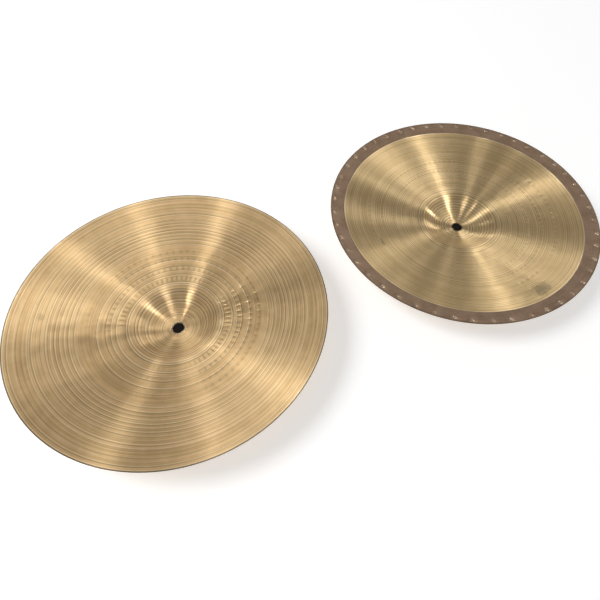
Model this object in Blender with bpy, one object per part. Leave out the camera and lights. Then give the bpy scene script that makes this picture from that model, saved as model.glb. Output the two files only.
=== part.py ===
"""Pair of turned bronze cymbals, each lying bell down on its own crown.

The row of two runs along X.  The plain-edged cymbal is on the -X side and the one
with the hammered rim band is on the +X side.  Both are hollow side up, so the
crowns of their bells touch the plane z = 0.  Units are metres and +Z is up.
"""

import math

import bmesh
import bpy

# Driving dimensions shared by the pair
CYMBAL_RADIUS = 0.1778      # 14 inch nominal diameter
CENTRE_SPACING = 0.397      # distance between the two centre holes
HOLE_RADIUS = 0.00675       # centre hole
LAND_RADIUS = 0.0115        # flat ring round the hole, where felts or a table bear
BELL_RADIUS = 0.055         # where the bell flows into the bow
BELL_STEEPEST = 0.70        # how far across the bell its slope is greatest
BOW_CURVE = 1.25            # above 1 makes the bow steeper towards the rim
SLOPE_STEP = 0.0001         # radius step used to measure the slope of the sheet
BELL_RINGS = 5              # rings of vertices across the bell
BOW_RINGS = 4               # rings of vertices across the bow, inside the rim band

# The plain-edged cymbal is the thinner and deeper one
PLAIN_SEGMENTS = 96
PLAIN_BELL_HEIGHT = 0.0160
PLAIN_RIM_HEIGHT = 0.0425
PLAIN_BELL_THICKNESS = 0.0015
PLAIN_RIM_THICKNESS = 0.0010

# The cymbal with the hammered rim is heavier and a little shallower
HAMMERED_BELL_HEIGHT = 0.0145
HAMMERED_RIM_HEIGHT = 0.0375
HAMMERED_BELL_THICKNESS = 0.0018
HAMMERED_RIM_THICKNESS = 0.0014

# The unlathed rim band and its row of hammered dents
BAND_WIDTH = 0.018
DENT_COUNT = 48
SEGMENTS_PER_DENT = 3
DENT_CENTRE_INSET = 0.0060  # from the rim to the middle of the dents
DENT_RADIAL_REACH = 0.0060  # a dent fades out this far from its middle
DENT_DEPTH = 0.0008

# Metal colours
LATHED_BRONZE = (0.60, 0.43, 0.21, 1.0)
BANDED_BRONZE = (0.52, 0.38, 0.20, 1.0)
BRONZE_ROUGHNESS = 0.32
SHARP_EDGE_ANGLE = math.radians(40)


def clear_scene():
    """Remove every object, so that the script can run in an open file."""
    for old_object in list(bpy.data.objects):
        bpy.data.objects.remove(old_object, do_unlink=True)


def bronze_material(name, colour):
    """Return a polished metal material of the given base colour."""
    material = bpy.data.materials.new(name)
    material.use_nodes = True
    shader = material.node_tree.nodes["Principled BSDF"]
    shader.inputs["Base Color"].default_value = colour
    shader.inputs["Metallic"].default_value = 1.0
    shader.inputs["Roughness"].default_value = BRONZE_ROUGHNESS
    material.diffuse_color = colour
    return material


def smoothstep(value):
    """Ease from 0 to 1 with a level start and a level end."""
    return value * value * (3.0 - 2.0 * value)


def bell_rise(along_bell):
    """Share of the bell's height reached: a dome, then a hollow fillet into the bow."""
    if along_bell <= BELL_STEEPEST:
        return along_bell ** 2 / BELL_STEEPEST
    return 1.0 - (1.0 - along_bell) ** 2 / (1.0 - BELL_STEEPEST)


def mid_height(radius, bell_height, rim_height, bell_thickness):
    """Height of the middle of the sheet above the plane that the crown rests on."""
    crown = 0.5 * bell_thickness
    if radius <= LAND_RADIUS:
        return crown
    if radius <= BELL_RADIUS:
        along_bell = (radius - LAND_RADIUS) / (BELL_RADIUS - LAND_RADIUS)
        return crown + bell_height * bell_rise(along_bell)
    along_bow = (radius - BELL_RADIUS) / (CYMBAL_RADIUS - BELL_RADIUS)
    bow_rise = rim_height - crown - bell_height
    return crown + bell_height + bow_rise * along_bow ** BOW_CURVE


def ring_radii(inner_bow_limit, band_insets):
    """Radii of the rings of vertices, from the centre hole out to the rim."""
    radii = [HOLE_RADIUS, LAND_RADIUS]
    bell_step = (BELL_RADIUS - LAND_RADIUS) / BELL_RINGS
    radii += [LAND_RADIUS + bell_step * ring for ring in range(1, BELL_RINGS + 1)]
    bow_step = (inner_bow_limit - BELL_RADIUS) / BOW_RINGS
    radii += [BELL_RADIUS + bow_step * ring for ring in range(1, BOW_RINGS + 1)]
    radii += [CYMBAL_RADIUS - inset for inset in band_insets]
    return radii


def sheet_outline(radii, bell_height, rim_height, bell_thickness, rim_thickness):
    """Closed cross-section of the sheet: the hollow side outwards, then the back inwards."""
    hollow_side = []
    back_side = []
    for radius in radii:
        height = mid_height(radius, bell_height, rim_height, bell_thickness)
        if radius > LAND_RADIUS:
            below = mid_height(radius - SLOPE_STEP, bell_height, rim_height, bell_thickness)
            slope = (height - below) / SLOPE_STEP
        else:
            slope = 0.0
        taper = max(0.0, (radius - LAND_RADIUS) / (CYMBAL_RADIUS - LAND_RADIUS))
        thickness = bell_thickness + (rim_thickness - bell_thickness) * taper
        half_upright = 0.5 * thickness * math.hypot(1.0, slope)
        hollow_side.append((radius, height + half_upright))
        back_side.append((radius, height - half_upright))
    return hollow_side + back_side[::-1]


def turned_mesh(outline, segments):
    """Spin a closed outline about Z into a watertight turned sheet."""
    body = bmesh.new()
    verts = [body.verts.new((radius, 0.0, height)) for radius, height in outline]
    edges = [
        body.edges.new((verts[index], verts[(index + 1) % len(verts)]))
        for index in range(len(verts))
    ]
    bmesh.ops.spin(
        body,
        geom=verts + edges,
        cent=(0.0, 0.0, 0.0),
        axis=(0.0, 0.0, 1.0),
        angle=math.tau,
        steps=segments,
        use_merge=True,
    )
    bmesh.ops.recalc_face_normals(body, faces=body.faces[:])
    return body


def hammer_rim_dents(body):
    """Push a ring of evenly spaced dents into the rim band."""
    dent_radius = CYMBAL_RADIUS - DENT_CENTRE_INSET
    for vert in body.verts:
        radius = math.hypot(vert.co.x, vert.co.y)
        offset = abs(radius - dent_radius) / DENT_RADIAL_REACH
        if offset >= 1.0:
            continue
        around = math.atan2(vert.co.y, vert.co.x)
        across = 0.5 + 0.5 * math.cos(DENT_COUNT * around)
        vert.co.z -= DENT_DEPTH * across * smoothstep(1.0 - offset)


def cymbal_object(name, body, centre_x, material):
    """Turn a bmesh into a smooth-shaded object standing on its own axis."""
    mesh = bpy.data.meshes.new(name)
    body.to_mesh(mesh)
    body.free()
    mesh.materials.append(material)
    mesh.shade_smooth()
    mesh.set_sharp_from_angle(angle=SHARP_EDGE_ANGLE)
    cymbal = bpy.data.objects.new(name, mesh)
    cymbal.location = (centre_x, 0.0, 0.0)
    bpy.context.collection.objects.link(cymbal)
    return cymbal


def make_plain_edge_cymbal():
    """The thin cymbal that is lathed right out to its rim."""
    radii = ring_radii(CYMBAL_RADIUS, [])
    outline = sheet_outline(
        radii,
        PLAIN_BELL_HEIGHT,
        PLAIN_RIM_HEIGHT,
        PLAIN_BELL_THICKNESS,
        PLAIN_RIM_THICKNESS,
    )
    body = turned_mesh(outline, PLAIN_SEGMENTS)
    material = bronze_material("lathed_bronze", LATHED_BRONZE)
    return cymbal_object("plain_edge_cymbal", body, -0.5 * CENTRE_SPACING, material)


def make_hammered_edge_cymbal():
    """The heavy cymbal with an unlathed, dented band at its rim."""
    band_start = CYMBAL_RADIUS - BAND_WIDTH
    dent_insets = [2.0 * DENT_CENTRE_INSET, DENT_CENTRE_INSET, 0.0]
    radii = ring_radii(band_start, dent_insets)
    outline = sheet_outline(
        radii,
        HAMMERED_BELL_HEIGHT,
        HAMMERED_RIM_HEIGHT,
        HAMMERED_BELL_THICKNESS,
        HAMMERED_RIM_THICKNESS,
    )
    body = turned_mesh(outline, DENT_COUNT * SEGMENTS_PER_DENT)
    hammer_rim_dents(body)
    material = bronze_material("banded_bronze", BANDED_BRONZE)
    return cymbal_object("hammered_edge_cymbal", body, 0.5 * CENTRE_SPACING, material)


def main():
    """Build the pair."""
    clear_scene()
    make_plain_edge_cymbal()
    make_hammered_edge_cymbal()


main()
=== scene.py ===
"""Looks of a pair of turned bronze cymbals lying bell down on a pale floor.

Each cymbal is one turned sheet.  Its shape repeats the frame's profile with finer rings, and adds
the lathe's tone grooves, the worn edges, the step beside the unlathed band and the hammered dents.
"""
import math
import random

import bpy
from mathutils import Matrix, Vector
from mathutils import noise as space_noise


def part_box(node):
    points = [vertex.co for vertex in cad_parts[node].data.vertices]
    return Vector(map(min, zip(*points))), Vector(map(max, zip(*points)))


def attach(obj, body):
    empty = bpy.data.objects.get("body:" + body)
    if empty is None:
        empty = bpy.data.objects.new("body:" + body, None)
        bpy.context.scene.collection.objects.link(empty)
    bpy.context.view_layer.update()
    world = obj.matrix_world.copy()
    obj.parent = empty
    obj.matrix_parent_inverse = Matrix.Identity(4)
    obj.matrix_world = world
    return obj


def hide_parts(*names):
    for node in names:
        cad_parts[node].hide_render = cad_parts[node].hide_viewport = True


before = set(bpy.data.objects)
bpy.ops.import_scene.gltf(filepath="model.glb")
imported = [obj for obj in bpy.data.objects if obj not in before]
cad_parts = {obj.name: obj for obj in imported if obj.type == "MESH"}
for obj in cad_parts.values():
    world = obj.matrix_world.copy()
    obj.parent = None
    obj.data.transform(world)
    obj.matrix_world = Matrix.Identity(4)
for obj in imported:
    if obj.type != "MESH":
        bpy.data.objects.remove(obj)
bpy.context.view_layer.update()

# Profile of the sheets, as in the frame (metres)
HOLE_RADIUS = 0.00675
LAND_RADIUS = 0.0115
BELL_RADIUS = 0.055
BELL_STEEPEST = 0.70
BOW_CURVE = 1.25
SLOPE_STEP = 0.0001         # radius step used to measure the slope of the sheet
RIM_UPRIGHT = 1.035         # thickness at the rim measured straight up, over the true thickness
BAND_WIDTH = 0.018
PLAIN_BELL_HEIGHT = 0.0160
PLAIN_BELL_THICKNESS = 0.0015
PLAIN_RIM_THICKNESS = 0.0010
HAMMERED_BELL_HEIGHT = 0.0145
HAMMERED_BELL_THICKNESS = 0.0018
HAMMERED_RIM_THICKNESS = 0.0014
PLAIN_SEED = 3
HAMMERED_SEED = 8

# Fineness of the turned meshes
SEGMENTS = 160
BAND_SPLIT = 4              # the rim band has this many times the segments
HOLLOW_GAP = 0.00046        # between rings on the hollow side
BACK_GAP = 0.00135          # between rings on the back
BAND_GAP = 0.00130          # between rings on the rim band
EDGE_ROLL = 0.00035         # worn rounding of the rim and of the hole
EDGE_STEPS = 3
STEP_RINGS = 3              # rings across the step beside the unlathed band

# Lathe work
GROOVE_HALF_WIDTH = 0.0009
GROOVE_DEPTH = 0.00009
LATHE_STEP = 0.00025        # metal that the lathe took off beside the unlathed band
LATHE_STEP_WIDTH = 0.0006
LINE_HALF_WIDTH = 0.00065   # painted highlight along the lip of a groove, with a line of painted shade just outside it
LINE_OFFSET = 0.0012
SCRATCH_TONE = 0.45         # fine lines of the lathe between the grooves
SCRATCH_WIDTH = 0.0006
LATHED_EDGE_PAINTED_HIGHLIGHT = 1.3     # lightness of a highlight painted along the line where the lathe stopped
LATHED_EDGE_INSET = 0.0009
EDGE_SHADE_AND_WEAR = 1.7         # darkness painted on the cut edge of the sheet as shade, also used for the dark ring round the hole
CUT_EDGE_WIDTH = 0.0013
HOLE_EDGE_WIDTH = 0.0014    # dark worn ring round the centre hole

# Tone grooves: first and last radius, pitch, strength
PLAIN_GROOVES = [
    (0.0170, 0.0260, 0.0030, 0.7),
    (0.0290, 0.0525, 0.0032, 1.3),
    (0.0553, 0.0553, 0.0040, 1.6),
    (0.0656, 0.0770, 0.0050, 1.0),
    (0.0864, 0.0924, 0.0060, 1.0),
    (0.1089, 0.1279, 0.0047, 1.7),
    (0.1320, 0.1715, 0.0042, 0.8),
]
HAMMERED_GROOVES = [
    (0.0170, 0.0560, 0.0034, 1.3),
    (0.0600, 0.1560, 0.0025, 0.6),
]

# Shallow waves that hammering left in the whole sheet
WAVE_HEIGHT = 0.00012
WAVE_LENGTH = 0.012
WAVE_FADE_IN = 0.012        # width over which the waves die out beside the crown
WAVE_FADE_OUT = 0.008       # and beside the rim

# Hammered dents in the rim band
DENT_COUNT = 48
DENT_CENTRE_INSET = 0.0048
DENT_RADIAL_REACH = 0.0052
DENT_SHARPNESS = 6          # higher is narrower round the rim
DENT_DEPTH = 0.0010
DENT_SHIFT = 0.07           # most that a dent strays round the rim, as a share of their spacing
DENT_LEAST = 0.6            # size of the faintest dent

# Materials: linear RGBA colours, metres and shares of 1
PLAIN_LIGHT = (0.84, 0.590, 0.300, 1.0)
PLAIN_DARK = (0.64, 0.418, 0.200, 1.0)
PLAIN_ROUGHNESS = 0.37
BANDED_LIGHT = (0.77, 0.560, 0.285, 1.0)
BANDED_DARK = (0.65, 0.450, 0.215, 1.0)
BANDED_ROUGHNESS = 0.34
ROUGHNESS_SPREAD = 0.03     # how far fine lathe lines raise and lower the roughness
LATHE_BUMP = 0.00003        # depth of the finest lathe lines
SKIN_LIGHT = (0.31, 0.21, 0.14, 1.0)
SKIN_DARK = (0.225, 0.145, 0.092, 1.0)
# lighter colour in the dents: burnished metal, with a painted glint
SKIN_BURNISH_AND_PAINTED_GLINT = (0.50, 0.37, 0.26, 1.0)
SKIN_BUMP = 0.0001
LIGHT_LINES = 0.75          # how much the painted highlights and painted shade of the lines, and the lathe's fine lines, lighten and darken the metal
DARK_LINES = 0.55
DARKEST_LINE = 1.7          # line tone below 0 at which the darkening is full
# colours of the painted highlights and painted shade along the lines, also used for the lathe's
# fine lines
LIGHT_LINE_COLOUR = (1.0, 0.83, 0.55, 1.0)
DARK_LINE_COLOUR = (0.13, 0.08, 0.04, 1.0)
SCUFF_INNER = 0.0080        # scuffs round the hole thin out between these radii
SCUFF_OUTER = 0.0130
SCUFF_STRENGTH = 0.6
DULL_SCUFF = (0.30, 0.20, 0.11, 1.0)
BRIGHT_SCUFF = (1.0, 0.86, 0.62, 1.0)
STAIN_COLOUR = (0.15, 0.12, 0.08, 1.0)
HAMMER_MARK_TINT = 0.6
HAMMER_MARK_BUMP = -4.0     # depth of a hammer mark, as a multiple of the lathe bump
HAMMER_MARK_WIDTH = 0.32    # half width of a mark, as a share of their spacing
HAMMER_WANDER = 1.2         # how far the marks stray round the sheet

# Hammer marks under the lathe work: marks per turn, radius, radial reach, strength
PLAIN_HAMMER_ROWS = [
    (66, 0.0610, 0.0052, 1.0),
    (66, 0.0750, 0.0046, 0.8),
    (70, 0.0875, 0.0040, 0.6),
    (74, 0.0980, 0.0036, 0.5),
]
BANDED_HAMMER_ROWS = [
    (90, 0.070, 0.003, 0.7),
    (90, 0.092, 0.003, 0.7),
    (90, 0.108, 0.003, 0.6),
    (90, 0.125, 0.003, 0.6),
]

# Stains: degrees from +X, radius, reach across and along the circle, strength
PLAIN_SMUDGES = [(158, 0.145, 0.004, 0.006, 0.30)]
BANDED_SMUDGES = [
    (-83, 0.1455, 0.0105, 0.0200, 0.58),
    (179, 0.1210, 0.0030, 0.0085, 0.50),
]

# Stage
FLOOR_HALF = 30.0
FLOOR_HEIGHT = -0.0002      # just under the crowns
FLOOR_SHADE = (0.62, 0.62, 0.62, 1.0)
FLOOR_GLOW = 0.52
# dark disc under each centre hole: painted shade seen through the hole
SHADE_DISC_RADIUS = 0.009
SHADE_DISC_COLOUR = (0.015, 0.013, 0.012, 1.0)
SHADE_DISC_HEIGHT = -0.0001
SHADE_DISC_CORNERS = 32
CAMERA_PLACE = (-0.1764, -0.3334, 0.5202)
CAMERA_HEADING = math.radians(27.62)    # from +Y towards +X
CAMERA_PITCH = math.radians(56.72)      # below the horizon
CAMERA_ROLL = math.radians(3.06)
CAMERA_LENS = 29.64
CAMERA_SHIFT = (-0.0433, -0.005)
LIGHT_AIM = (0.0, 0.0, 0.03)
LIGHT_DISTANCE = 2.2        # of the soft lights
LIGHT_RADIUS = 0.12
# Sheen in the metal: azimuth from +X and elevation in degrees, watts
SOFT_LIGHTS = [
    ("right_low", 356, 8, 8.0),
    ("right_front", 324, 56, 7.0),
    ("left", 192, 48, 5.3),
    ("high_front", 244, 72, 3.8),
    ("right_back_low", 20, 8, 2.4),
    ("back", 90, 64, 2.0),
    ("back_right", 57, 32, 1.4),
    ("back_left", 108, 64, 1.3),
    ("right_back", 24, 48, 1.1),
    ("back_low", 104, 32, 0.9),
    ("back_right_low", 46, 31, 1.1),
    ("left_back", 122, 56, 0.7),
    ("high_back", 50, 56, 0.6),
]

# Key light for the floor: azimuth, elevation, distance, radius, watts
FLOOR_KEY = (158, 50, 4.0, 1.0, 115.0)

WORLD_FILL = 0.29           # even light from all round
WALL_GLOW = 0.62            # extra brightness of the pale walls, low down all round
WALL_TOP = 0.35             # sine of the elevation at which the glow has faded out
BACKDROP = 0.95             # the wall as the camera sees it, as pale as the floor


def smoothstep(value):
    """Ease from 0 to 1."""
    value = min(1.0, max(0.0, value))
    return value * value * (3.0 - 2.0 * value)


def spaced(start, stop, gap):
    """Evenly spaced values from start up to and including stop."""
    count = max(1, round((stop - start) / gap))
    return [start + (stop - start) * index / count for index in range(count + 1)]


class Sheet:
    """Shape of one cymbal: its place and outer size are read from the frame."""

    def __init__(
        self, node, bell_height, bell_thickness, rim_thickness, banded, groove_groups, seed
    ):
        low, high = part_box(node)
        self.node = node
        self.centre = Vector((0.5 * (low.x + high.x), 0.5 * (low.y + high.y), 0.0))
        self.radius = 0.5 * (high.x - low.x)
        self.bell_height = bell_height
        self.bell_thickness = bell_thickness
        self.rim_thickness = rim_thickness
        self.rim_height = high.z - 0.5 * rim_thickness * RIM_UPRIGHT
        self.banded = banded
        self.band_start = self.radius - BAND_WIDTH if banded else self.radius
        self.seed = seed
        dice = random.Random(seed + 1)
        self.dents = [
            (dice.uniform(-DENT_SHIFT, DENT_SHIFT), dice.uniform(DENT_LEAST, 1.0))
            for _ in range(DENT_COUNT)
        ]
        self.grooves = self.tone_grooves(groove_groups, random.Random(seed))

    def tone_grooves(self, groups, dice):
        """Radius and strength of each groove, a little uneven as a hand-held tool leaves them."""
        grooves = []
        for first, last, pitch, strength in groups:
            for radius in spaced(first, last, pitch):
                wander = 0.12 * pitch * dice.uniform(-1.0, 1.0)
                grooves.append((radius + wander, strength * dice.uniform(0.2, 1.25)))
        return grooves

    def painted_light_and_grain(self, radius):
        """Lightness of the metal at a radius, mostly painted light: above 0 for the painted
        highlight on a groove's lip, below 0 for the painted shade beside it.
        """
        tone = 0.0
        if radius < self.band_start:
            place = Vector((radius / SCRATCH_WIDTH, self.seed, 0.5))
            tone += SCRATCH_TONE * space_noise.noise(place)
        for centre, strength in self.grooves:
            bright = 1.0 - abs(radius - centre) / LINE_HALF_WIDTH
            dull = 1.0 - abs(radius - centre - LINE_OFFSET) / LINE_HALF_WIDTH
            tone += strength * (smoothstep(bright) - 0.8 * smoothstep(dull))
        # painted highlight along the edge of the lathe work
        lathed_edge = self.band_start - LATHED_EDGE_INSET * (1.0 if self.banded else 2.0)
        tone += LATHED_EDGE_PAINTED_HIGHLIGHT * smoothstep(1.0 - abs(radius - lathed_edge) / LATHED_EDGE_INSET)
        # painted shade on the cut edge of the sheet; the same darkening makes the ring round the
        # hole
        into_edge = (radius - self.radius + CUT_EDGE_WIDTH) / (0.5 * CUT_EDGE_WIDTH)
        tone -= EDGE_SHADE_AND_WEAR * smoothstep(into_edge)
        into_hole = (HOLE_RADIUS + HOLE_EDGE_WIDTH - radius) / (0.5 * HOLE_EDGE_WIDTH)
        tone -= EDGE_SHADE_AND_WEAR * smoothstep(into_hole)
        return tone

    def wave(self, radius, angle):
        """Shallow unevenness of the sheet, fading out at the crown and at the rim."""
        from_crown = smoothstep((radius - LAND_RADIUS) / WAVE_FADE_IN)
        from_rim = smoothstep((self.radius - radius) / WAVE_FADE_OUT)
        place = Vector((radius * math.cos(angle), radius * math.sin(angle), self.seed))
        return WAVE_HEIGHT * from_crown * from_rim * space_noise.noise(place / WAVE_LENGTH)

    def mid_height(self, radius):
        """Height of the middle of the sheet above the floor."""
        crown = 0.5 * self.bell_thickness
        if radius <= LAND_RADIUS:
            return crown
        if radius <= BELL_RADIUS:
            along = (radius - LAND_RADIUS) / (BELL_RADIUS - LAND_RADIUS)
            if along <= BELL_STEEPEST:
                rise = along ** 2 / BELL_STEEPEST
            else:
                rise = 1.0 - (1.0 - along) ** 2 / (1.0 - BELL_STEEPEST)
            return crown + self.bell_height * rise
        along = (radius - BELL_RADIUS) / (self.radius - BELL_RADIUS)
        bow_rise = self.rim_height - crown - self.bell_height
        return crown + self.bell_height + bow_rise * along ** BOW_CURVE

    def half_upright(self, radius):
        """Half of the sheet's thickness, measured straight up."""
        slope = 0.0
        if radius > LAND_RADIUS:
            rise = self.mid_height(radius) - self.mid_height(radius - SLOPE_STEP)
            slope = rise / SLOPE_STEP
        taper = max(0.0, (radius - LAND_RADIUS) / (self.radius - LAND_RADIUS))
        thickness = self.bell_thickness + (self.rim_thickness - self.bell_thickness) * taper
        return 0.5 * thickness * math.hypot(1.0, slope)

    def lathe_cut(self, radius):
        """Metal taken off one side at a radius: the general cut, and the tone grooves."""
        cut = 0.0
        if self.banded:
            into_band = (radius - self.band_start) / LATHE_STEP_WIDTH
            cut += LATHE_STEP * (1.0 - smoothstep(into_band + 1.0))
        for centre, strength in self.grooves:
            across = abs(radius - centre) / GROOVE_HALF_WIDTH
            cut += GROOVE_DEPTH * strength * smoothstep(1.0 - across)
        return cut

    def hollow_height(self, radius):
        """Height of the hollow side."""
        return self.mid_height(radius) + self.half_upright(radius) - self.lathe_cut(radius)

    def back_height(self, radius):
        """Height of the back, which faces the floor."""
        return self.mid_height(radius) - self.half_upright(radius) + self.lathe_cut(radius)

    def dent(self, radius, angle):
        """How far a rim dent pushes the sheet down."""
        if not self.banded:
            return 0.0
        offset = abs(radius - (self.radius - DENT_CENTRE_INSET)) / DENT_RADIAL_REACH
        if offset >= 1.0:
            return 0.0
        place = DENT_COUNT * angle / math.tau
        aside, size = self.dents[round(place) % DENT_COUNT]
        local = place - round(place) - aside
        across = (0.5 + 0.5 * math.cos(math.tau * local)) ** DENT_SHARPNESS
        return DENT_DEPTH * size * across * smoothstep(1.0 - offset)


def edge_roll(sheet, radius, outward):
    """Points that round an edge of the sheet, from its hollow side to its back."""
    top = sheet.hollow_height(radius)
    bottom = sheet.back_height(radius)
    roll = min(EDGE_ROLL, 0.45 * (top - bottom))
    upper = []
    lower = []
    for index in range(1, EDGE_STEPS + 1):
        angle = 0.5 * math.pi * index / EDGE_STEPS
        inward = roll * (1.0 - math.sin(angle))
        drop = roll * (1.0 - math.cos(angle))
        upper.append((radius - outward * inward, top - drop))
        lower.append((radius - outward * inward, bottom + drop))
    return upper + lower[::-1]


def cross_section(sheet):
    """Closed section as (radius, height, on_band) rows: out along the hollow side, then back."""
    lathed_stop = sheet.band_start - (LATHE_STEP_WIDTH if sheet.banded else EDGE_ROLL)
    lathed_start = HOLE_RADIUS + EDGE_ROLL
    hollow = [(radius, False) for radius in spaced(lathed_start, lathed_stop, HOLLOW_GAP)]
    back = [(radius, False) for radius in spaced(lathed_start, lathed_stop, BACK_GAP)]
    if sheet.banded:
        step_rings = spaced(lathed_stop, sheet.band_start, LATHE_STEP_WIDTH / STEP_RINGS)[1:]
        band_rings = spaced(sheet.band_start, sheet.radius - EDGE_ROLL, BAND_GAP)[1:]
        both = [(radius, True) for radius in step_rings + band_rings]
        hollow += both
        back += both
    rows = [(radius, sheet.hollow_height(radius), on_band) for radius, on_band in hollow]
    rim = edge_roll(sheet, sheet.radius, 1.0)
    rows += [(radius, height, sheet.banded) for radius, height in rim]
    rows += [(radius, sheet.back_height(radius), on_band) for radius, on_band in reversed(back)]
    hole = edge_roll(sheet, HOLE_RADIUS, -1.0)
    rows += [(radius, height, False) for radius, height in reversed(hole)]
    return rows


def ring_faces(first, first_count, second, second_count):
    """Faces between two rings of vertices.  One may have a few times as many as the other."""
    if first_count == second_count:
        following = [(i + 1) % first_count for i in range(first_count)]
        return [
            (first + i, second + i, second + after, first + after)
            for i, after in enumerate(following)
        ]
    faces = []
    if first_count < second_count:
        split = second_count // first_count
        for i in range(first_count):
            fan = [second + (split * i + k) % second_count for k in range(split + 1)]
            faces += [(first + i, fan[k], fan[k + 1]) for k in range(split)]
            faces.append((first + i, fan[split], first + (i + 1) % first_count))
        return faces
    return [face[::-1] for face in ring_faces(second, second_count, first, first_count)]


def turned_mesh(sheet, name):
    """Turn the section about Z.  Faces on the rim band get material slot 1."""
    verts = []
    tones = []
    burnish_and_glint_values = []
    rings = []
    for radius, height, on_band in cross_section(sheet):
        count = BAND_SPLIT * SEGMENTS if on_band else SEGMENTS
        rings.append((len(verts), count, on_band))
        tones += [sheet.painted_light_and_grain(radius)] * count
        for i in range(count):
            angle = math.tau * i / count
            drop = sheet.dent(radius, angle) if on_band else 0.0
            shift = sheet.wave(radius, angle) - drop
            # depth of the dent, which drives its smoother burnish and its painted glint
            burnish_and_glint_values.append(drop / DENT_DEPTH)
            verts.append((radius * math.cos(angle), radius * math.sin(angle), height + shift))
    faces = []
    slots = []
    for index, (start, count, on_band) in enumerate(rings):
        next_start, next_count, next_on_band = rings[(index + 1) % len(rings)]
        new_faces = ring_faces(start, count, next_start, next_count)
        faces += new_faces
        slots += [1 if on_band and next_on_band else 0] * len(new_faces)
    mesh = bpy.data.meshes.new(name)
    mesh.from_pydata(verts, [], faces)
    mesh.polygons.foreach_set("material_index", slots)
    # painted highlights and painted shade of the lines, with the lathe's fine lines as grain
    painted_light_and_grain = mesh.attributes.new("painted_light_and_grain", "FLOAT", "POINT")
    painted_light_and_grain.data.foreach_set("value", tones)
    burnish_and_painted_glint = mesh.attributes.new("burnish_and_painted_glint", "FLOAT", "POINT")
    burnish_and_painted_glint.data.foreach_set("value", burnish_and_glint_values)
    mesh.shade_smooth()
    mesh.update()
    return mesh


# ---------------------------------------------------------------- materials

class Graph:
    """Short names for building one material's nodes."""

    def __init__(self, name):
        self.material = bpy.data.materials.new(name)
        self.material.use_nodes = True
        self.tree = self.material.node_tree
        self.shader = self.tree.nodes["Principled BSDF"]

    def feed(self, socket, value):
        """Link a socket, or set a plain value."""
        if isinstance(value, bpy.types.NodeSocket):
            self.tree.links.new(value, socket)
        else:
            socket.default_value = value

    def node(self, kind, inputs=None, **settings):
        """New node with its inputs fed and its settings set."""
        node = self.tree.nodes.new(kind)
        for key, value in settings.items():
            setattr(node, key, value)
        for key, value in (inputs or {}).items():
            self.feed(node.inputs[key], value)
        return node

    def math(self, operation, first, second=0.0):
        node = self.node("ShaderNodeMath", {0: first, 1: second}, operation=operation)
        return node.outputs[0]

    def add(self, first, second):
        return self.math("ADD", first, second)

    def times(self, first, second):
        return self.math("MULTIPLY", first, second)

    def remap(self, value, low, high, to_low=0.0, to_high=1.0, smooth=True):
        """Map value from low..high to to_low..to_high, held at the ends."""
        kind = "SMOOTHSTEP" if smooth else "LINEAR"
        inputs = {"Value": value, "From Min": low, "From Max": high}
        inputs.update({"To Min": to_low, "To Max": to_high})
        return self.node("ShaderNodeMapRange", inputs, interpolation_type=kind).outputs[0]

    def noise(self, vector, scale, detail=2.0, roughness=0.5):
        inputs = {"Vector": vector, "Scale": scale, "Detail": detail, "Roughness": roughness}
        return self.node("ShaderNodeTexNoise", inputs).outputs["Fac"]

    def vector(self, x, y, z):
        return self.node("ShaderNodeCombineXYZ", {0: x, 1: y, 2: z}).outputs[0]

    def mix_colour(self, amount, first, second):
        node = self.node("ShaderNodeMix", data_type="RGBA")
        self.feed(node.inputs[0], amount)
        self.feed(node.inputs[6], first)
        self.feed(node.inputs[7], second)
        return node.outputs[2]

    def dot(self, first, second):
        node = self.node("ShaderNodeVectorMath", {0: first, 1: second}, operation="DOT_PRODUCT")
        return node.outputs["Value"]

    def polar(self):
        """Radius from the turning axis, angle round it, and the unit direction from it."""
        position = self.node("ShaderNodeTexCoord").outputs["Object"]
        parts = self.node("ShaderNodeSeparateXYZ", {0: position})
        x = parts.outputs[0]
        y = parts.outputs[1]
        self.position = position
        self.radius = self.math("SQRT", self.add(self.times(x, x), self.times(y, y)))
        self.angle = self.math("ARCTAN2", y, x)
        self.along_x = self.math("DIVIDE", x, self.radius)
        self.along_y = self.math("DIVIDE", y, self.radius)

    def ring_noise(self, per_metre, round_trip, detail=2.0, offset=0.0):
        """Noise drawn out round the axis: fine along the radius, slow along the circle."""
        vector = self.vector(
            self.times(self.along_x, round_trip),
            self.times(self.along_y, round_trip),
            self.add(self.times(self.radius, per_metre), offset),
        )
        return self.noise(vector, 1.0, detail)


def add_lines(graph, colour):
    """Lighten the lips of the grooves with painted highlights, and darken the lines beside them and
    the cut edge with painted shade.
    """
    painted_light_and_grain = graph.node("ShaderNodeAttribute", attribute_name="painted_light_and_grain").outputs["Fac"]
    light = graph.remap(painted_light_and_grain, 0.0, 1.0, 0.0, LIGHT_LINES, smooth=False)
    full_dark = DARKEST_LINE * DARK_LINES
    dark = graph.remap(painted_light_and_grain, -DARKEST_LINE, 0.0, full_dark, 0.0, smooth=False)
    colour = graph.mix_colour(light, colour, LIGHT_LINE_COLOUR)
    return graph.mix_colour(dark, colour, DARK_LINE_COLOUR)


def lathe_colour(graph, light, dark, broad, fine, cloudy):
    """Bronze that varies in fine circles and, more softly, in patches."""
    mottle = graph.noise(graph.position, 85.0)
    tone = graph.add(graph.times(broad, 0.35), graph.times(fine, 0.45))
    tone = graph.add(tone, graph.add(graph.times(cloudy, 0.20), graph.times(mottle, 0.25)))
    return graph.mix_colour(graph.remap(tone, 0.50, 0.75), dark, light)


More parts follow.
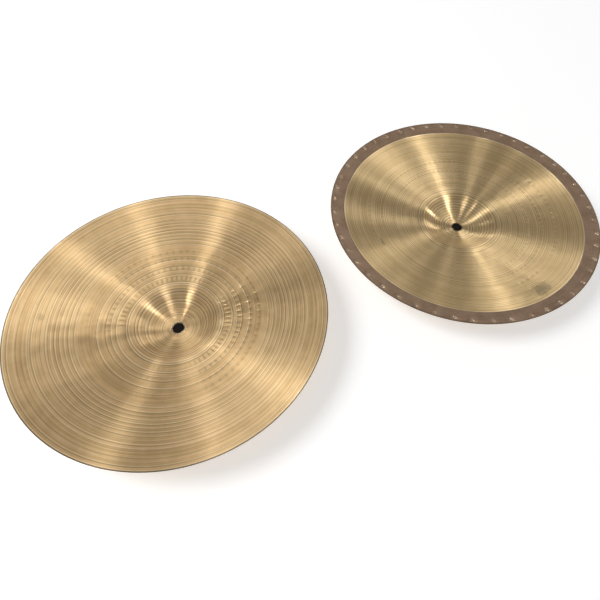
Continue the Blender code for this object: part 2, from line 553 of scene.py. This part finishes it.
def hammer_marks(graph, rows, cloudy):
    """How strongly a place is marked by the hammer.  The rows come and go in patches."""
    wander = graph.times(graph.add(cloudy, -0.5), HAMMER_WANDER)
    total = None
    for count, radius, reach, strength in rows:
        turn = graph.add(graph.times(graph.angle, count / math.tau), wander)
        cell = graph.math("ABSOLUTE", graph.add(graph.math("FRACT", turn), -0.5))
        across = graph.remap(cell, 0.0, HAMMER_MARK_WIDTH, 1.0, 0.0)
        off_row = graph.math("ABSOLUTE", graph.add(graph.radius, -radius))
        along = graph.remap(off_row, 0.0, reach, 1.0, 0.0)
        mark = graph.times(graph.times(across, along), strength)
        total = mark if total is None else graph.add(total, mark)
    patchy = graph.remap(graph.noise(graph.position, 14.0, 1.0), 0.42, 0.62)
    return graph.times(total, patchy)


def add_scuffs(graph, colour):
    """Dull and bright specks where felts and rods have rubbed round the hole."""
    near_hole = graph.remap(graph.radius, SCUFF_INNER, SCUFF_OUTER, SCUFF_STRENGTH, 0.0)
    scuff = graph.noise(graph.position, 650.0)
    dull_scuff = graph.times(near_hole, graph.remap(scuff, 0.52, 0.60))
    bright_scuff = graph.times(near_hole, graph.remap(scuff, 0.48, 0.40))
    colour = graph.mix_colour(dull_scuff, colour, DULL_SCUFF)
    return graph.mix_colour(bright_scuff, colour, BRIGHT_SCUFF)


def add_smudges(graph, colour, smudges):
    """Shapeless stains."""
    for turn, radius, across, along, strength in smudges:
        outward = (math.cos(math.radians(turn)), math.sin(math.radians(turn)), 0.0)
        sideways = (-outward[1], outward[0], 0.0)
        radial = graph.add(graph.dot(graph.position, outward), -radius)
        radial = graph.times(radial, 1.0 / across)
        tangential = graph.times(graph.dot(graph.position, sideways), 1.0 / along)
        squares = graph.add(graph.times(radial, radial), graph.times(tangential, tangential))
        reach = graph.math("SQRT", squares)
        wobble = graph.times(graph.add(graph.noise(graph.position, 160.0, 3.0), -0.5), 1.1)
        near = graph.remap(graph.add(reach, wobble), 0.25, 1.1, strength, 0.0)
        colour = graph.mix_colour(near, colour, STAIN_COLOUR)
    return colour


def lathed_bronze(name, light, dark, roughness, hammer_rows, smudges):
    """Bronze that a lathe has cut in fine circles, with faint hammer marks under them."""
    graph = Graph(name)
    graph.polar()
    broad = graph.ring_noise(350.0, 0.6, 3.0)
    fine = graph.ring_noise(900.0, 1.5, 2.0, 40.0)
    cloudy = graph.noise(graph.position, 14.0, 3.0)
    colour = lathe_colour(graph, light, dark, broad, fine, cloudy)
    hammer = hammer_marks(graph, hammer_rows, cloudy)
    mark_colour = (0.45 * dark[0], 0.42 * dark[1], 0.42 * dark[2], 1.0)
    colour = graph.mix_colour(graph.times(hammer, HAMMER_MARK_TINT), colour, mark_colour)
    # painted highlights and painted shade along the grooves and edges
    colour = add_lines(graph, colour)
    colour = add_scuffs(graph, colour)
    colour = add_smudges(graph, colour, smudges)

    lines = graph.add(fine, graph.times(broad, 1.4))
    height = graph.add(lines, graph.times(hammer, HAMMER_MARK_BUMP))
    bump_inputs = {"Strength": 1.0, "Distance": LATHE_BUMP, "Height": height}
    bump = graph.node("ShaderNodeBump", bump_inputs)
    rough = graph.remap(fine, 0.3, 0.7, roughness - ROUGHNESS_SPREAD, roughness + ROUGHNESS_SPREAD)
    tangent = graph.node("ShaderNodeTangent", direction_type="RADIAL", axis="Z")
    graph.feed(graph.shader.inputs["Base Color"], colour)
    graph.feed(graph.shader.inputs["Metallic"], 1.0)
    graph.feed(graph.shader.inputs["Roughness"], rough)
    graph.feed(graph.shader.inputs["Anisotropic"], 1.0)
    graph.feed(graph.shader.inputs["Anisotropic Rotation"], 0.25)
    graph.feed(graph.shader.inputs["Normal"], bump.outputs[0])
    graph.feed(graph.shader.inputs["Tangent"], tangent.outputs[0])
    return graph.material


def unlathed_bronze(name):
    """Bronze left with its brown skin from the rolling mill and the hammer."""
    graph = Graph(name)
    graph.polar()
    mottle = graph.noise(graph.position, 60.0, 5.0, 0.6)
    speck = graph.noise(graph.position, 420.0, 3.0, 0.6)
    streak = graph.ring_noise(500.0, 2.0, 2.0)
    grain = graph.add(graph.times(speck, 0.25), graph.times(streak, 0.25))
    tone = graph.add(graph.times(mottle, 0.5), grain)
    shade = graph.remap(tone, 0.35, 0.65)
    colour = graph.mix_colour(shade, SKIN_DARK, SKIN_LIGHT)
    # dents are smoother burnished metal, and lighter in colour as a painted glint
    burnish_and_painted_glint = graph.node("ShaderNodeAttribute", attribute_name="burnish_and_painted_glint").outputs["Fac"]
    polish_and_painted_glint = graph.remap(burnish_and_painted_glint, 0.15, 0.75)
    colour = graph.mix_colour(graph.times(polish_and_painted_glint, 0.8), colour, SKIN_BURNISH_AND_PAINTED_GLINT)
    # painted shade on the cut edge of the band
    colour = add_lines(graph, colour)
    bump = graph.node("ShaderNodeBump", {"Strength": 0.6, "Distance": SKIN_BUMP, "Height": tone})
    graph.feed(graph.shader.inputs["Base Color"], colour)
    graph.feed(graph.shader.inputs["Metallic"], 0.85)
    rough = graph.add(graph.remap(mottle, 0.3, 0.7, 0.32, 0.42), graph.times(polish_and_painted_glint, -0.14))
    graph.feed(graph.shader.inputs["Roughness"], rough)
    graph.feed(graph.shader.inputs["Normal"], bump.outputs[0])
    return graph.material


def floor_material():
    """Matt pale floor that glows a little, so that its shadows stay soft."""
    graph = Graph("pale_floor")
    graph.feed(graph.shader.inputs["Base Color"], FLOOR_SHADE)
    graph.feed(graph.shader.inputs["Roughness"], 0.9)
    graph.feed(graph.shader.inputs["Emission Color"], (1.0, 1.0, 1.0, 1.0))
    graph.feed(graph.shader.inputs["Emission Strength"], FLOOR_GLOW)
    return graph.material


# ---------------------------------------------------------------- pieces

def add_cymbal(name, sheet, materials, body):
    """Make the visible cymbal and tie it to its body."""
    mesh = turned_mesh(sheet, name)
    for material in materials:
        mesh.materials.append(material)
    cymbal = bpy.data.objects.new(name, mesh)
    cymbal.location = sheet.centre
    bpy.context.scene.collection.objects.link(cymbal)
    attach(cymbal, body)
    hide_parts(sheet.node)
    return cymbal


plain = Sheet(
    "plain_edge_cymbal",
    PLAIN_BELL_HEIGHT,
    PLAIN_BELL_THICKNESS,
    PLAIN_RIM_THICKNESS,
    False,
    PLAIN_GROOVES,
    PLAIN_SEED,
)
hammered = Sheet(
    "hammered_edge_cymbal",
    HAMMERED_BELL_HEIGHT,
    HAMMERED_BELL_THICKNESS,
    HAMMERED_RIM_THICKNESS,
    True,
    HAMMERED_GROOVES,
    HAMMERED_SEED,
)

plain_bronze = lathed_bronze(
    "plain_lathed_bronze",
    PLAIN_LIGHT,
    PLAIN_DARK,
    PLAIN_ROUGHNESS,
    PLAIN_HAMMER_ROWS,
    PLAIN_SMUDGES,
)
banded_bronze = lathed_bronze(
    "banded_lathed_bronze",
    BANDED_LIGHT,
    BANDED_DARK,
    BANDED_ROUGHNESS,
    BANDED_HAMMER_ROWS,
    BANDED_SMUDGES,
)
band_skin = unlathed_bronze("unlathed_bronze_skin")

add_cymbal("plain_cymbal_sheet", plain, [plain_bronze], "plain_cymbal")
add_cymbal(
    "hammered_cymbal_sheet",
    hammered,
    [banded_bronze, band_skin],
    "hammered_cymbal",
)


# ---------------------------------------------------------------- floor, camera and light

def add_floor():
    """Wide level floor under the crowns."""
    half = FLOOR_HALF
    mesh = bpy.data.meshes.new("floor")
    corners = [(-half, -half, 0), (half, -half, 0), (half, half, 0), (-half, half, 0)]
    mesh.from_pydata(corners, [], [(0, 1, 2, 3)])
    mesh.materials.append(floor_material())
    floor = bpy.data.objects.new("floor", mesh)
    floor.location = (0.0, 0.0, FLOOR_HEIGHT)
    bpy.context.scene.collection.objects.link(floor)


def add_hole_shade_disc(sheet):
    """Small dark disc on the floor under the centre hole, painted shade seen through the hole above
    it.
    """
    graph = Graph("painted_hole_shade")
    graph.feed(graph.shader.inputs["Base Color"], SHADE_DISC_COLOUR)
    graph.feed(graph.shader.inputs["Roughness"], 1.0)
    graph.feed(graph.shader.inputs["Specular IOR Level"], 0.0)
    turns = [math.tau * i / SHADE_DISC_CORNERS for i in range(SHADE_DISC_CORNERS)]
    mesh = bpy.data.meshes.new("shade_disc_under_" + sheet.node)
    verts = [(SHADE_DISC_RADIUS * math.cos(turn), SHADE_DISC_RADIUS * math.sin(turn), 0.0) for turn in turns]
    mesh.from_pydata(verts, [], [tuple(range(SHADE_DISC_CORNERS))])
    mesh.materials.append(graph.material)
    shade_disc = bpy.data.objects.new("shade_disc_under_" + sheet.node, mesh)
    shade_disc.location = (sheet.centre.x, sheet.centre.y, SHADE_DISC_HEIGHT)
    bpy.context.scene.collection.objects.link(shade_disc)


def add_camera():
    """Camera looking down on the pair, a little rolled."""
    flat = Vector((math.sin(CAMERA_HEADING), math.cos(CAMERA_HEADING), 0.0))
    level_right = Vector((flat.y, -flat.x, 0.0))
    forward = flat * math.cos(CAMERA_PITCH) - Vector((0, 0, math.sin(CAMERA_PITCH)))
    level_up = level_right.cross(forward)
    right = level_right * math.cos(CAMERA_ROLL) + level_up * math.sin(CAMERA_ROLL)
    up = level_up * math.cos(CAMERA_ROLL) - level_right * math.sin(CAMERA_ROLL)
    data = bpy.data.cameras.new("camera")
    data.lens = CAMERA_LENS
    data.sensor_width = 36.0
    data.shift_x = CAMERA_SHIFT[0]
    data.shift_y = CAMERA_SHIFT[1]
    data.clip_start = 0.01
    camera = bpy.data.objects.new("camera", data)
    turn = Matrix((right, up, -forward)).transposed().to_4x4()
    camera.matrix_world = Matrix.Translation(CAMERA_PLACE) @ turn
    bpy.context.scene.collection.objects.link(camera)
    bpy.context.scene.camera = camera


def add_light(name, azimuth, elevation, distance, radius, watts):
    """Round soft light that faces the middle of the pair."""
    azimuth = math.radians(azimuth)
    elevation = math.radians(elevation)
    direction = Vector((
        math.cos(elevation) * math.cos(azimuth),
        math.cos(elevation) * math.sin(azimuth),
        math.sin(elevation),
    ))
    data = bpy.data.lights.new(name, "AREA")
    data.shape = "DISK"
    data.size = 2.0 * radius
    data.energy = watts
    light = bpy.data.objects.new(name, data)
    light.location = Vector(LIGHT_AIM) + direction * distance
    light.rotation_euler = direction.to_track_quat("Z", "Y").to_euler()
    bpy.context.scene.collection.objects.link(light)
    return light


def add_lights():
    """The soft lights only show in the metal.  A large key lights only the floor, from the left."""
    for name, azimuth, elevation, watts in SOFT_LIGHTS:
        light = add_light("light_" + name, azimuth, elevation, LIGHT_DISTANCE, LIGHT_RADIUS, watts)
        light.visible_diffuse = False
    key = add_light("light_floor_key", *FLOOR_KEY)
    key.visible_glossy = False


def add_world():
    """Even fill light, brighter near the horizon as in a room with pale walls."""
    world = bpy.data.worlds.new("studio")
    world.use_nodes = True
    bpy.context.scene.world = world
    tree = world.node_tree
    direction = tree.nodes.new("ShaderNodeTexCoord")
    parts = tree.nodes.new("ShaderNodeSeparateXYZ")
    fade = tree.nodes.new("ShaderNodeMapRange")
    fade.inputs["From Min"].default_value = WALL_TOP
    fade.inputs["From Max"].default_value = 0.0
    strength = tree.nodes.new("ShaderNodeMath")
    strength.operation = "MULTIPLY_ADD"
    strength.inputs[1].default_value = WALL_GLOW
    strength.inputs[2].default_value = WORLD_FILL
    looked_at = tree.nodes.new("ShaderNodeLightPath")
    shown = tree.nodes.new("ShaderNodeMix")
    shown.inputs[3].default_value = BACKDROP
    background = tree.nodes["Background"]
    background.inputs["Color"].default_value = (1.0, 1.0, 1.0, 1.0)
    tree.links.new(direction.outputs["Generated"], parts.inputs[0])
    tree.links.new(parts.outputs[2], fade.inputs["Value"])
    tree.links.new(fade.outputs[0], strength.inputs[0])
    tree.links.new(looked_at.outputs["Is Camera Ray"], shown.inputs[0])
    tree.links.new(strength.outputs[0], shown.inputs[2])
    tree.links.new(shown.outputs[0], background.inputs["Strength"])


add_floor()
add_hole_shade_disc(plain)
add_hole_shade_disc(hammered)
add_camera()
add_lights()
add_world()
bpy.context.scene.view_settings.view_transform = "Standard"
